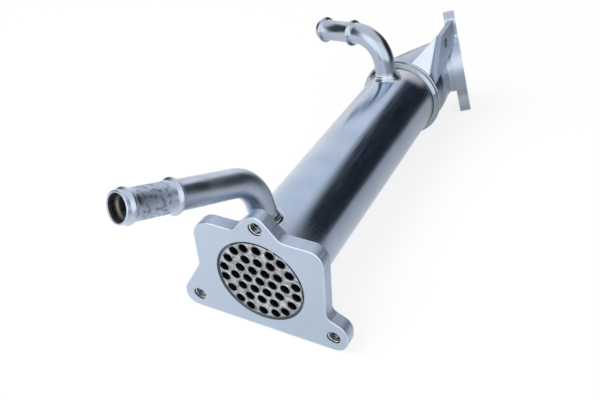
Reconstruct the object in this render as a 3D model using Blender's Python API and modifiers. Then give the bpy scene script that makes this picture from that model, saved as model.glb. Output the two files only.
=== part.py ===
"""Shell-and-tube exhaust gas cooler.

Hot gas enters through the bolted inlet flange, runs through a bundle of thin tubes and
leaves through a slanted outlet header and its flange. Coolant enters and leaves the
shell through two bent hose pipes.

Metres, +Z up. The origin is the middle of the inlet flange's straight lower edge. The
shell's axis runs along +Y, at axis_height above that edge.
"""
import math

import bmesh
import bpy
from mathutils import Matrix, Vector

MM = 0.001

# Gaps that are left between pieces which touch or are brazed together
seat_gap = 0.3 * MM
bore_gap = 0.4 * MM

# Fineness of round forms
corner_steps = 5
bend_steps = 8
port_steps = 24
bolt_steps = 16
smooth_angle = math.radians(35)

# Shell
shell_radius = 25.4 * MM
shell_wall = 0.9 * MM
shell_length = 207.0 * MM
shell_steps = 48

# Inlet flange; the rises are heights above the shell's outside, the sill is the metal under
# it, and the side holes stand out past the flange's sides and up from its lower edge
flange_thickness = 8.0 * MM
flange_edge_round = 0.5 * MM
flange_half_width = 37.5 * MM
flange_shoulder_rise = 5.1 * MM
left_shoulder_radius = 11.0 * MM
right_shoulder_radius = 8.0 * MM
flange_sill = 7.6 * MM
top_bolt_x = 1.0 * MM
top_bolt_rise = 9.6 * MM
top_ear_radius = 7.2 * MM
top_ear_flank_angle = math.radians(48)
side_bolt_overhang = 3.5 * MM
side_bolt_lift = 9.0 * MM
left_ear_reach = 9.5 * MM
left_ear_top = 2.2 * MM
left_ear_angle = math.radians(58.5)
right_ear_reach = 8.0 * MM
right_ear_top = 7.2 * MM
right_ear_angle = math.radians(24)
ear_corner_radius = 7.0 * MM
ear_root_radius = 4.5 * MM
bolt_minor_radius = 3.4 * MM
bolt_chamfer_radius = 4.1 * MM
flange_weld_reach = 2.2 * MM

# Tube bundle and its two tube sheets; tube_clearance is the room between the outermost
# tubes and the shell's bore, tube_bridge the space between neighbouring tubes, and the
# ratios are the outer row's radii over the tubes' pitch
tube_clearance = 0.35 * MM
tube_bridge = 1.73 * MM
tube_wall = 0.3 * MM
tube_sides = 10
outer_row_ratio = 2.9127
outer_row_spread = math.radians(9.3)
outer_single_ratio = 2.82
sheet_thickness = 2.0 * MM
sheet_recess = 0.6 * MM
tube_stub = 0.3 * MM

# Coolant hose pipes and the turn of everything that follows them round the shell; a rise
# is where the bend starts above the shell, the setback is from the shell's rear end
clocking = math.radians(-14)
front_pipe_radius = 7.5 * MM
front_pipe_base = 16.8 * MM
front_pipe_rise = 10.2 * MM
front_pipe_bend = 20.7 * MM
front_pipe_run = 67.5 * MM
front_pipe_swing = math.radians(9.2)
front_pipe_lift = math.radians(23.4)
front_pipe_turn = math.radians(1.0)
front_stop_bead = 38.0 * MM
front_stop_bead_height = 1.4 * MM
front_end_bead_height = 1.0 * MM
rear_pipe_radius = 7.0 * MM
rear_pipe_setback = 17.1 * MM
rear_pipe_rise = 10.8 * MM
rear_pipe_bend = 19.4 * MM
rear_pipe_run = 33.7 * MM
rear_pipe_swing = math.radians(106.3)
rear_pipe_lift = math.radians(2.1)
rear_pipe_turn = math.radians(3.1)
rear_stop_bead = 4.5 * MM
rear_stop_bead_height = 1.9 * MM
rear_end_bead_height = 1.9 * MM
pipe_wall = 1.1 * MM
pipe_bevel_resolution = 6
bead_half_length = 2.2 * MM
end_bead_setback = 4.0 * MM
foot_depth = 5.0 * MM
weld_reach = 3.3 * MM
weld_height = 3.2 * MM

# Collar at the rear end of the shell
collar_overlap = 3.4 * MM
collar_length = 5.0 * MM
collar_rise = 3.5 * MM
collar_lip_length = 2.4 * MM
collar_edge_round = 0.6 * MM
collar_sleeve_wall = 0.6 * MM

# Outlet header, lofted from the shell to the outlet flange
header_wall = 1.8 * MM
header_start_step = 2.3 * MM
header_straight = 7.0 * MM
header_outlet_radius = 20.3 * MM
header_steps = 32
header_rows = 5

# Outlet flange, leaning back from the sideways direction; outlet_reach is measured from
# the header's front end
outlet_turn = math.radians(20)
outlet_side = 24.2 * MM
outlet_reach = 58.2 * MM
outlet_rise = -0.3 * MM
outlet_thickness = 8.0 * MM
outlet_half_height = 40.5 * MM
outlet_ear_half_width = 8.0 * MM
outlet_ear_tip_radius = 7.8 * MM
outlet_ear_root = 23.8 * MM
outlet_ear_root_radius = 4.0 * MM
outlet_bar_half_width = 15.5 * MM
outlet_bar_radius = 0.5 * MM
outlet_disc_radius = 22.9 * MM
outlet_hub_height = 3.7 * MM
outlet_bolt_inset = 8.0 * MM
header_weld_reach = 2.0 * MM

# Bracket plate beside the header, with its sloping web; distances back are measured from
# the header's front end, heights from the shell's axis
bracket_standoff = 4.0 * MM
bracket_lean = math.radians(4)
bracket_thickness = 4.0 * MM
bracket_front = 0.1 * MM
bracket_front_height = 8.4 * MM
bracket_crest = 23.5 * MM
bracket_crest_height = 34.6 * MM
bracket_top_height = 37.4 * MM
bracket_low_height = 25.5 * MM
bracket_corner_radius = 0.5 * MM
bracket_hole_radius = 3.5 * MM
bracket_hole_back = 30.2 * MM
bracket_hole_height = 27.0 * MM
web_depth = 5.4 * MM
web_end_angle = math.radians(64)

# Radii, heights and places that follow from the sizes above
axis_height = shell_radius + flange_sill
flange_shoulder_height = shell_radius + flange_shoulder_rise
top_bolt_height = shell_radius + top_bolt_rise
side_bolt_x = flange_half_width + side_bolt_overhang
side_bolt_drop = axis_height - side_bolt_lift
tube_room = shell_radius - shell_wall - tube_clearance
outer_row_radius = (tube_room + tube_bridge / 2) / (1 + 0.5 / outer_row_ratio)
tube_pitch = outer_row_radius / outer_row_ratio
tube_radius = (tube_pitch - tube_bridge) / 2
header_start_radius = shell_radius + header_start_step
flange_front = -flange_thickness / 2
sheet_front = flange_front + sheet_recess
shell_front = sheet_front + sheet_thickness + seat_gap
shell_back = shell_front + shell_length
rear_sheet_front = shell_back + seat_gap
rear_pipe_base = shell_back - rear_pipe_setback
collar_front = shell_back - collar_overlap
header_front = collar_front + collar_length + seat_gap
outlet_back = header_front + outlet_reach
bracket_middle = (shell_radius + bracket_standoff - bracket_thickness / 2
                  - bracket_crest_height * math.sin(bracket_lean))


def empty_scene():
    for item in list(bpy.data.objects):
        bpy.data.objects.remove(item, do_unlink=True)


def new_collection(name):
    collection = bpy.data.collections.new(name)
    bpy.context.scene.collection.children.link(collection)
    return collection


def metal(name, colour, roughness):
    material = bpy.data.materials.new(name)
    material.use_nodes = True
    shader = material.node_tree.nodes["Principled BSDF"]
    shader.inputs["Base Color"].default_value = (*colour, 1.0)
    shader.inputs["Metallic"].default_value = 1.0
    shader.inputs["Roughness"].default_value = roughness
    return material


def frame_empty(name, location, rotation, parent=None):
    empty = bpy.data.objects.new(name, None)
    parts.objects.link(empty)
    empty.parent = parent
    empty.location = location
    empty.rotation_euler = rotation
    return empty


def place(item, parent, location=(0, 0, 0), rotation=(0, 0, 0)):
    item.parent = parent
    item.location = location
    item.rotation_euler = rotation
    return item


def add_piece(name, mesh, material):
    piece = bpy.data.objects.new(name, mesh)
    mesh.materials.append(material)
    parts.objects.link(piece)
    return piece


def add_cutter(name, mesh):
    cutter = bpy.data.objects.new(name, mesh)
    cutter.hide_render = True
    cutter.display_type = "WIRE"
    cutters.objects.link(cutter)
    return cutter


def cut(piece, cutter, operation="DIFFERENCE"):
    modifier = piece.modifiers.new(cutter.name, "BOOLEAN")
    modifier.operation = operation
    modifier.solver = "EXACT"
    modifier.object = cutter


def break_edges(item):
    bevel = item.modifiers.new("Broken edges", "BEVEL")
    bevel.width = flange_edge_round
    bevel.segments = 1
    bevel.limit_method = "ANGLE"
    bevel.angle_limit = math.radians(40)


def shade_round(mesh):
    mesh.shade_smooth()
    mesh.set_sharp_from_angle(angle=smooth_angle)


def turned_profile(name, profile):
    """A closed outline of (radius, height) points, for a Screw modifier."""
    mesh = bpy.data.meshes.new(name)
    points = [(radius, 0, height) for radius, height in profile]
    edges = [(i, (i + 1) % len(points)) for i in range(len(points))]
    mesh.from_pydata(points, edges, [])
    return mesh


def spin(item, steps):
    screw = item.modifiers.new("Turn", "SCREW")
    screw.axis = "Z"
    screw.steps = steps
    screw.render_steps = steps
    screw.use_smooth_shade = True
    screw.use_merge_vertices = True
    screw.merge_threshold = 0.00001
    return item


def cylinder_mesh(name, radius, bottom, top, sides, centres=((0, 0),)):
    """One or more upright cylinders, between two heights."""
    mesh = bpy.data.meshes.new(name)
    bm = bmesh.new()
    for x, y in centres:
        bmesh.ops.create_cone(
            bm, cap_ends=True, segments=sides, radius1=radius, radius2=radius,
            depth=top - bottom, matrix=Matrix.Translation((x, y, (top + bottom) / 2)))
    bm.to_mesh(mesh)
    bm.free()
    return mesh


def curve_to_mesh(curve_object, name):
    """A mesh copy of a curve object, with its caps welded on; the curve is removed."""
    bpy.context.view_layer.update()
    evaluated = curve_object.evaluated_get(bpy.context.evaluated_depsgraph_get())
    mesh = bpy.data.meshes.new_from_object(evaluated)
    mesh.name = name
    bm = bmesh.new()
    bm.from_mesh(mesh)
    bmesh.ops.remove_doubles(bm, verts=bm.verts, dist=0.00001)
    bmesh.ops.recalc_face_normals(bm, faces=bm.faces)
    bm.to_mesh(mesh)
    bm.free()
    bpy.data.objects.remove(curve_object, do_unlink=True)
    return mesh


def rounded_outline(corners):
    """Points of a closed outline whose corners, (x, y, radius), become arcs.

    The corners run anticlockwise.
    """
    points = []
    count = len(corners)
    for i in range(count):
        before = Vector(corners[i - 1][:2])
        corner = Vector(corners[i][:2])
        after = Vector(corners[(i + 1) % count][:2])
        into = (corner - before).normalized()
        out = (after - corner).normalized()
        turn = into.x * out.y - into.y * out.x
        side = 1 if turn > 0 else -1
        half = into.angle(out) / 2
        radius = corners[i][2]
        outward = Vector((into.y, -into.x))
        centre = corner - into * radius * math.tan(half) - outward * side * radius
        start = math.atan2(side * outward.y, side * outward.x)
        for step in range(corner_steps + 1):
            angle = start + side * 2 * half * step / corner_steps
            points.append(centre + radius * Vector((math.cos(angle), math.sin(angle))))
    return points


def plate_mesh(name, outline, thickness):
    """A flat plate with the given outline, centred on its own middle plane."""
    curve = bpy.data.curves.new(name, "CURVE")
    curve.dimensions = "2D"
    curve.fill_mode = "BOTH"
    curve.extrude = thickness / 2
    spline = curve.splines.new("POLY")
    spline.points.add(len(outline) - 1)
    for point, position in zip(spline.points, outline):
        point.co = (position[0], position[1], 0, 1)
    spline.use_cyclic_u = True
    holder = bpy.data.objects.new(name, curve)
    parts.objects.link(holder)
    return curve_to_mesh(holder, name)


def swept_mesh(name, path, radii):
    """A round bar along a path, with a radius for each of its points."""
    curve = bpy.data.curves.new(name, "CURVE")
    curve.dimensions = "3D"
    curve.bevel_depth = 1.0
    curve.bevel_resolution = pipe_bevel_resolution
    curve.use_fill_caps = True
    spline = curve.splines.new("POLY")
    spline.points.add(len(path) - 1)
    for point, position, radius in zip(spline.points, path, radii):
        point.co = (*position, 1)
        point.radius = radius
    holder = bpy.data.objects.new(name, curve)
    parts.objects.link(holder)
    return curve_to_mesh(holder, name)


def flange_outline():
    """Inlet flange, seen from the front, with X across and the shell's axis at zero."""
    flank_x = math.sin(top_ear_flank_angle)
    flank_z = math.cos(top_ear_flank_angle)
    peak = top_bolt_height + top_ear_radius / flank_z
    root = (peak - flange_shoulder_height) * flank_z / flank_x
    right = side_bolt_x + right_ear_reach
    left = -side_bolt_x - left_ear_reach
    right_top = right_ear_top - side_bolt_drop
    left_top = left_ear_top - side_bolt_drop
    right_root = right_top + (right - flange_half_width) * math.tan(right_ear_angle)
    left_root = left_top + (-flange_half_width - left) * math.tan(left_ear_angle)
    return [
        (left, -axis_height, ear_corner_radius),
        (right, -axis_height, right_ear_reach),
        (right, right_top, ear_corner_radius),
        (flange_half_width, right_root, ear_root_radius),
        (flange_half_width, flange_shoulder_height, right_shoulder_radius),
        (top_bolt_x + root, flange_shoulder_height, ear_root_radius),
        (top_bolt_x, peak, top_ear_radius),
        (top_bolt_x - root, flange_shoulder_height, ear_root_radius),
        (-flange_half_width, flange_shoulder_height, left_shoulder_radius),
        (-flange_half_width, left_root, ear_corner_radius),
        (left, left_top, ear_corner_radius),
    ]


def bolt_hole_mesh(name, thickness):
    """A drilled hole with a chamfered mouth on the plate's outer face."""
    chamfer = bolt_chamfer_radius - bolt_minor_radius
    face = thickness / 2
    profile = [
        (bolt_chamfer_radius + chamfer, face + chamfer),
        (bolt_minor_radius, face - chamfer),
        (bolt_minor_radius, -thickness),
        (0, -thickness),
        (0, face + chamfer),
    ]
    return turned_profile(name, profile)


def make_inlet_flange():
    mesh = plate_mesh("inlet_flange", rounded_outline(flange_outline()), flange_thickness)
    flange = add_piece("inlet_flange", mesh, plate_steel)
    place(flange, gas_axis, rotation=(math.radians(90), 0, 0))
    break_edges(flange)
    bore = add_cutter("inlet_bore", cylinder_mesh(
        "inlet_bore", shell_radius + bore_gap, -flange_thickness, flange_thickness, shell_steps))
    place(bore, gas_axis, rotation=(math.radians(90), 0, 0))
    cut(flange, bore)
    bolts = [
        ("top_bolt_hole", top_bolt_x, top_bolt_height),
        ("left_bolt_hole", -side_bolt_x, -side_bolt_drop),
        ("right_bolt_hole", side_bolt_x, -side_bolt_drop),
    ]
    for name, x, z in bolts:
        hole = add_cutter(name, bolt_hole_mesh(name, flange_thickness))
        place(hole, gas_axis, (x, 0, z), (math.radians(90), 0, 0))
        spin(hole, bolt_steps)
        cut(flange, hole)


def tube_positions():
    """Thirty-seven places: a hexagon of nineteen, with a rounded outer row."""
    places = [(0.0, 0.0)]
    for k in range(6):
        main = k * math.radians(60)
        between = main + math.radians(30)
        polar = [
            (tube_pitch, main),
            (tube_pitch * 2, main),
            (tube_pitch * math.sqrt(3), between),
            (outer_row_radius, main - outer_row_spread),
            (outer_row_radius, main + outer_row_spread),
            (tube_pitch * outer_single_ratio, between),
        ]
        places += [(r * math.cos(angle), r * math.sin(angle)) for r, angle in polar]
    return places


def make_tube_sheet(name, front):
    centres = [(x, -z) for x, z in tube_positions()]
    mesh = cylinder_mesh(name, shell_radius, 0, sheet_thickness, shell_steps)
    sheet = add_piece(name, mesh, sheet_steel)
    place(sheet, gas_axis, (0, front, 0), (math.radians(-90), 0, 0))
    holes = add_cutter(name + "_holes", cylinder_mesh(
        name + "_holes", tube_radius + seat_gap, -sheet_thickness, sheet_thickness * 2,
        tube_sides, centres))
    place(holes, gas_axis, (0, front, 0), (math.radians(-90), 0, 0))
    cut(sheet, holes)


def make_core_tubes():
    front = sheet_front - tube_stub
    back = rear_sheet_front + sheet_thickness + tube_stub
    inner = tube_radius - tube_wall
    profile = [(tube_radius, back), (tube_radius, front), (inner, front), (inner, back)]
    mesh = turned_profile("core_tube", profile)
    mesh.materials.append(tube_steel)
    for number, (x, z) in enumerate(tube_positions(), start=1):
        tube = bpy.data.objects.new(f"core_tube_{number:02d}", mesh)
        parts.objects.link(tube)
        place(tube, gas_axis, (x, 0, z), (math.radians(-90), 0, 0))
        spin(tube, tube_sides)


def make_shell():
    inner = shell_radius - shell_wall
    profile = [
        (shell_radius, shell_back), (shell_radius, shell_front),
        (inner, shell_front), (inner, shell_back),
    ]
    shell = add_piece("shell", turned_profile("shell", profile), shell_steel)
    place(shell, gas_axis, rotation=(math.radians(-90), 0, 0))
    spin(shell, shell_steps)
    ports = [
        ("front_port", front_pipe_base, front_pipe_radius, front_pipe_turn),
        ("rear_port", rear_pipe_base, rear_pipe_radius, rear_pipe_turn),
    ]
    for name, base, radius, turn in ports:
        port = add_cutter(name, cylinder_mesh(
            name, radius + seat_gap, 0, shell_radius * 2, port_steps))
        place(port, clocked, (0, base, 0), (0, turn, 0))
        cut(shell, port)


def make_flange_weld():
    """Fillet bead in the corner between the flange's back and the shell."""
    reach = flange_weld_reach
    inner = shell_radius + seat_gap
    front = flange_thickness / 2 + seat_gap
    profile = [(inner, front + reach), (inner + reach * 0.4, front + reach * 0.5),
               (inner + reach, front), (inner, front)]
    weld = add_piece("flange_weld", turned_profile("flange_weld", profile), weld_steel)
    place(weld, gas_axis, rotation=(math.radians(-90), 0, 0))
    spin(weld, shell_steps)


def pipe_path(rise, bend, swing, lift):
    """Points up from near the shell's axis and round the bend, and the way on from there.

    rise is how far the bend starts above the shell. swing turns the straight run from the
    front towards the left, lift raises it.
    """
    along = Vector((-math.sin(swing) * math.cos(lift),
                    -math.cos(swing) * math.cos(lift), math.sin(lift)))
    up = Vector((0, 0, 1))
    towards = (along - up * along.z).normalized()
    total = up.angle(along)
    centre = up * (shell_radius + rise) + towards * bend
    points = [up * (shell_radius - foot_depth)]
    for step in range(bend_steps + 1):
        angle = total * step / bend_steps
        points.append(centre - towards * bend * math.cos(angle) + up * bend * math.sin(angle))
    return points, along


def bead_stations(run, stop_bead, stop_height, end_height):
    """Distances along the straight run and the beads' extra radius at each."""
    stations = []
    for middle, height in ((stop_bead, stop_height), (run - end_bead_setback, end_height)):
        for share in (-1, -0.6, -0.2, 0.2, 0.6, 1):
            extra = height * math.sqrt(1 - share * share)
            stations.append((middle + share * bead_half_length, extra))
    return stations


def make_pipe(name, base, turn, radius, rise, bend, run, swing, lift, *beads):
    """Bent hose pipe with a stop bead and an end bead.

    beads are the stop bead's place on the straight run, its height and the end bead's.
    """
    points, along = pipe_path(rise, bend, swing, lift)
    bend_end = points[-1]
    bore_points = [points[0] * 0.5] + points[1:] + [bend_end + along * (run + radius)]
    radii = [radius] * len(points)
    for distance, extra in bead_stations(run, *beads):
        points.append(bend_end + along * distance)
        radii.append(radius + extra)
    points.append(bend_end + along * run)
    radii.append(radius)
    mesh = swept_mesh(name, points, radii)
    shade_round(mesh)
    pipe = add_piece(name, mesh, pipe_steel)
    place(pipe, clocked, (0, base, 0), (0, turn, 0))
    bore = add_cutter(name + "_bore", swept_mesh(
        name + "_bore", bore_points, [radius - pipe_wall] * len(bore_points)))
    place(bore, clocked, (0, base, 0), (0, turn, 0))
    saddle = add_cutter(name + "_saddle", cylinder_mesh(
        name + "_saddle", shell_radius - shell_wall, base - shell_radius,
        base + shell_radius, shell_steps))
    place(saddle, gas_axis, rotation=(math.radians(-90), 0, 0))
    cut(pipe, saddle)
    cut(pipe, bore)


def make_pipe_weld(name, base, turn, radius):
    """Braze fillet round a pipe's foot, saddle-cut to the shell."""
    inner = radius + seat_gap
    bottom = shell_radius - foot_depth
    section = [(0, 1), (0.22, 0.85), (0.4, 0.45), (1, -0.1)]
    profile = [(inner + weld_reach * across, shell_radius + weld_height * up)
               for across, up in section]
    profile += [(inner + weld_reach, bottom), (inner, bottom)]
    weld = add_piece(name, turned_profile(name, profile), weld_steel)
    place(weld, clocked, (0, base, 0), (0, turn, 0))
    spin(weld, port_steps)
    saddle = add_cutter(name + "_saddle", cylinder_mesh(
        name + "_saddle", shell_radius + seat_gap, base - shell_radius,
        base + shell_radius, shell_steps))
    place(saddle, gas_axis, rotation=(math.radians(-90), 0, 0))
    cut(weld, saddle)


def make_collar():
    """Rolled lip that the shell's rear end is brazed into."""
    inner = shell_radius + seat_gap
    back = collar_front + collar_length
    lip = inner + collar_rise
    lip_front = back - collar_lip_length
    edge = collar_edge_round
    wall = collar_sleeve_wall
    profile = [
        (lip - edge, back), (lip, back - edge), (lip, lip_front + edge), (lip - edge, lip_front),
        (inner + wall * 2, lip_front - wall * 2), (inner + wall, collar_front),
        (inner, collar_front), (inner, back),
    ]
    collar = add_piece("rear_collar", turned_profile("rear_collar", profile), collar_steel)
    place(collar, gas_axis, rotation=(math.radians(-90), 0, 0))
    spin(collar, shell_steps)


def header_sections(radius_change, beyond=0.0):
    """Section circles of the header, as a place, a forward direction and a radius.

    beyond carries the first and the last circle straight on, past the header's ends.
    """
    outlet_way = Vector((math.cos(outlet_turn), math.sin(outlet_turn), 0))
    outlet_middle = Vector((outlet_side, outlet_back, outlet_rise))
    finish = outlet_middle - outlet_way * (outlet_thickness / 2 + outlet_hub_height + seat_gap)
    forward = Vector((0, 1, 0))
    first = forward * (header_front + header_straight)
    sections = [(forward * (header_front - beyond), forward,
                 header_start_radius + radius_change)]
    for row in range(header_rows + 1):
        share = row / header_rows
        radius = header_start_radius + (header_outlet_radius - header_start_radius) * share
        sections.append((first.lerp(finish, share), forward.slerp(outlet_way, share),
                         radius + radius_change))
    if beyond > 0:
        sections.append((finish + outlet_way * beyond, outlet_way, sections[-1][2]))
    return sections


def loft_mesh(name, sections):
    """A closed round body through section circles, joined row by row."""
    mesh = bpy.data.meshes.new(name)
    bm = bmesh.new()
    rings = []
    for middle, way, radius in sections:
        side = way.cross(Vector((0, 0, 1))).normalized()
        axes = Matrix((side, side.cross(way) * -1, way)).transposed().to_4x4()
        made = bmesh.ops.create_circle(
            bm, cap_ends=False, segments=header_steps, radius=radius,
            matrix=Matrix.Translation(middle) @ axes)
        rings.append({edge for vert in made["verts"] for edge in vert.link_edges})
    for near, far in zip(rings, rings[1:]):
        bmesh.ops.bridge_loops(bm, edges=list(near | far))
    bmesh.ops.holes_fill(bm, edges=[edge for edge in bm.edges if edge.is_boundary])
    bmesh.ops.recalc_face_normals(bm, faces=bm.faces)
    bm.to_mesh(mesh)
    bm.free()
    return mesh


def make_header():
    mesh = loft_mesh("outlet_header", header_sections(0.0))
    shade_round(mesh)
    header = add_piece("outlet_header", mesh, header_steel)
    place(header, clocked)
    hollow = add_cutter("header_hollow", loft_mesh(
        "header_hollow", header_sections(-header_wall, header_wall)))
    place(hollow, clocked)
    cut(header, hollow)


def make_header_room():
    """The header's outer form with its clearance, for cutting what seats against it."""
    room = add_cutter("header_room", loft_mesh(
        "header_room", header_sections(seat_gap, collar_length)))
    return place(room, clocked)


def outlet_ears_outline(grow=0.0):
    """The two ears of the outlet flange and the bar that joins them through its disc."""
    width = outlet_ear_half_width + grow
    tip = outlet_half_height + grow
    bar = outlet_bar_half_width
    upper_right = [
        (bar, bar, outlet_bar_radius),
        (width, outlet_ear_root, outlet_ear_root_radius),
        (width, tip, outlet_ear_tip_radius),
    ]
    upper_left = [(-x, y, radius) for x, y, radius in reversed(upper_right)]
    lower = [(-x, -y, radius) for x, y, radius in upper_right + upper_left]
    return upper_right + upper_left + lower


def make_outlet_flange():
    mesh = plate_mesh("outlet_flange", rounded_outline(outlet_ears_outline()), outlet_thickness)
    flange = add_piece("outlet_flange", mesh, plate_steel)
    place(flange, outlet_frame)
    break_edges(flange)
    outer = outlet_thickness / 2
    inner = -outer - outlet_hub_height
    disc = add_cutter("outlet_disc", cylinder_mesh(
        "outlet_disc", outlet_disc_radius, inner, outer, header_steps))
    place(disc, outlet_frame)
    break_edges(disc)
    cut(flange, disc, "UNION")
    bore = add_cutter("outlet_bore", cylinder_mesh(
        "outlet_bore", header_outlet_radius - header_wall, -outlet_disc_radius,
        outlet_disc_radius, header_steps))
    place(bore, outlet_frame)
    cut(flange, bore)
    bolt = outlet_half_height - outlet_bolt_inset
    for name, height in (("outlet_top_hole", bolt), ("outlet_low_hole", -bolt)):
        hole = add_cutter(name, bolt_hole_mesh(name, outlet_thickness))
        place(hole, outlet_frame, (0, height, 0))
        spin(hole, bolt_steps)
        cut(flange, hole)


def make_header_weld(header_room):
    """Weld bead round the header's end, on the inner face of the outlet flange's disc."""
    face = -outlet_thickness / 2 - outlet_hub_height - seat_gap
    outer = header_outlet_radius + header_weld_reach
    inner = header_outlet_radius - header_wall
    top = face - header_weld_reach
    profile = [(outer, face), (outer - header_weld_reach * 0.35, face - header_weld_reach * 0.65),
               (outer - header_weld_reach * 0.75, top), (inner, top), (inner, face)]
    weld = add_piece("header_weld", turned_profile("header_weld", profile), weld_steel)
    place(weld, outlet_frame)
    spin(weld, header_steps)
    cut(weld, header_room)


def bracket_outline():
    """Bracket plate, seen from the right: back across, height up."""
    outlet_end = outlet_back + outlet_side
    corners = [
        (header_front + bracket_front, bracket_front_height),
        (outlet_end, bracket_low_height),
        (outlet_end, bracket_top_height),
        (header_front + bracket_crest, bracket_crest_height),
    ]
    return [(back, height, bracket_corner_radius) for back, height in corners]


def make_bracket(header_room):
    mesh = plate_mesh("bracket_plate", rounded_outline(bracket_outline()), bracket_thickness)
    bracket = add_piece("bracket_plate", mesh, plate_steel)
    place(bracket, bracket_frame)
    hole = add_cutter("bracket_hole", cylinder_mesh(
        "bracket_hole", bracket_hole_radius, -bracket_thickness, bracket_thickness,
        bolt_steps))
    place(hole, bracket_frame, (header_front + bracket_hole_back, bracket_hole_height, 0))
    cut(bracket, hole)
    reach = outlet_half_height * 2
    ear_side = -outlet_ear_half_width - seat_gap
    ear_room = add_cutter("ear_room", cylinder_mesh(
        "ear_room", reach * math.sqrt(2), -reach, reach, 4))
    place(ear_room, outlet_frame, (ear_side + reach, 0, 0), (0, 0, math.radians(45)))
    cut(bracket, ear_room)
    face = outlet_thickness / 2
    beyond = add_cutter("bracket_trim", cylinder_mesh(
        "bracket_trim", reach, face, face + reach, 8))
    place(beyond, outlet_frame)
    cut(bracket, beyond)
    ears_room = add_cutter("ears_room", plate_mesh(
        "ears_room", rounded_outline(outlet_ears_outline(seat_gap)),
        outlet_thickness + seat_gap * 2))
    place(ears_room, outlet_frame)
    cut(bracket, ears_room)
    disc_room = add_cutter("disc_room", cylinder_mesh(
        "disc_room", outlet_disc_radius + seat_gap, -face - outlet_hub_height - seat_gap,
        reach, header_steps))
    place(disc_room, outlet_frame)
    cut(bracket, disc_room)
    cut(bracket, header_room)


def make_web():
    """Sloping web, fanned out from the bracket's crest to the front end of the header."""
    side = bracket_middle + bracket_crest_height * math.sin(bracket_lean)
    side -= bracket_thickness / 2 + seat_gap
    peak = Vector((side, header_front + bracket_crest, bracket_crest_height))
    plate_distance = peak.x * math.cos(bracket_lean) - peak.z * math.sin(bracket_lean)
    radius = header_start_radius + seat_gap
    start_angle = math.acos(plate_distance / radius) - bracket_lean
    mesh = bpy.data.meshes.new("bracket_web")
    bm = bmesh.new()
    foot = []
    for step in range(corner_steps + 1):
        angle = start_angle + (web_end_angle - start_angle) * step / corner_steps
        foot.append(bm.verts.new(
            (radius * math.cos(angle), header_front + seat_gap, radius * math.sin(angle))))
    crest = bm.verts.new(peak)
    faces = [bm.faces.new((crest, near, far)) for near, far in zip(foot, foot[1:])]
    moved = bmesh.ops.extrude_face_region(bm, geom=faces)
    verts = [item for item in moved["geom"] if isinstance(item, bmesh.types.BMVert)]
    bmesh.ops.translate(bm, verts=verts, vec=(0, web_depth, 0))
    bmesh.ops.recalc_face_normals(bm, faces=bm.faces)
    bm.to_mesh(mesh)
    bm.free()
    place(add_piece("bracket_web", mesh, plate_steel), clocked)


empty_scene()
parts = new_collection("egr_cooler")
cutters = new_collection("cutters")

plate_steel = metal("plate_steel", (0.50, 0.56, 0.64), 0.42)
shell_steel = metal("shell_steel", (0.60, 0.64, 0.70), 0.22)
pipe_steel = metal("pipe_steel", (0.62, 0.65, 0.70), 0.20)
sheet_steel = metal("sheet_steel", (0.66, 0.60, 0.56), 0.45)
tube_steel = metal("tube_steel", (0.60, 0.60, 0.60), 0.30)
weld_steel = metal("weld_steel", (0.55, 0.57, 0.60), 0.35)
collar_steel = metal("collar_steel", (0.60, 0.66, 0.64), 0.25)
header_steel = metal("header_steel", (0.45, 0.55, 0.68), 0.30)

gas_axis = frame_empty("gas_axis", (0, 0, axis_height), (0, 0, 0))
clocked = frame_empty("clocked_frame", (0, 0, 0), (0, clocking, 0), gas_axis)
outlet_frame = frame_empty(
    "outlet_frame", (outlet_side, outlet_back, outlet_rise),
    (math.radians(90), 0, math.radians(90) + outlet_turn), clocked)
bracket_frame = frame_empty(
    "bracket_frame", (bracket_middle, 0, 0),
    (math.radians(90) + bracket_lean, 0, math.radians(90)), clocked)

make_inlet_flange()
make_tube_sheet("front_tube_sheet", sheet_front)
make_tube_sheet("rear_tube_sheet", rear_sheet_front)
make_core_tubes()
make_shell()
make_flange_weld()
make_pipe("front_coolant_pipe", front_pipe_base, front_pipe_turn, front_pipe_radius,
          front_pipe_rise, front_pipe_bend, front_pipe_run, front_pipe_swing, front_pipe_lift,
          front_stop_bead, front_stop_bead_height, front_end_bead_height)
make_pipe("rear_coolant_pipe", rear_pipe_base, rear_pipe_turn, rear_pipe_radius,
          rear_pipe_rise, rear_pipe_bend, rear_pipe_run, rear_pipe_swing, rear_pipe_lift,
          rear_stop_bead, rear_stop_bead_height, rear_end_bead_height)
make_pipe_weld("front_pipe_weld", front_pipe_base, front_pipe_turn, front_pipe_radius)
make_pipe_weld("rear_pipe_weld", rear_pipe_base, rear_pipe_turn, rear_pipe_radius)
make_collar()
make_header()
header_room = make_header_room()
make_outlet_flange()
make_header_weld(header_room)
make_bracket(header_room)
make_web()
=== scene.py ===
"""Looks of the exhaust gas cooler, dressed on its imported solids, in metres."""
import math

import bmesh
import bpy
from mathutils import Matrix, Vector, noise


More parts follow.
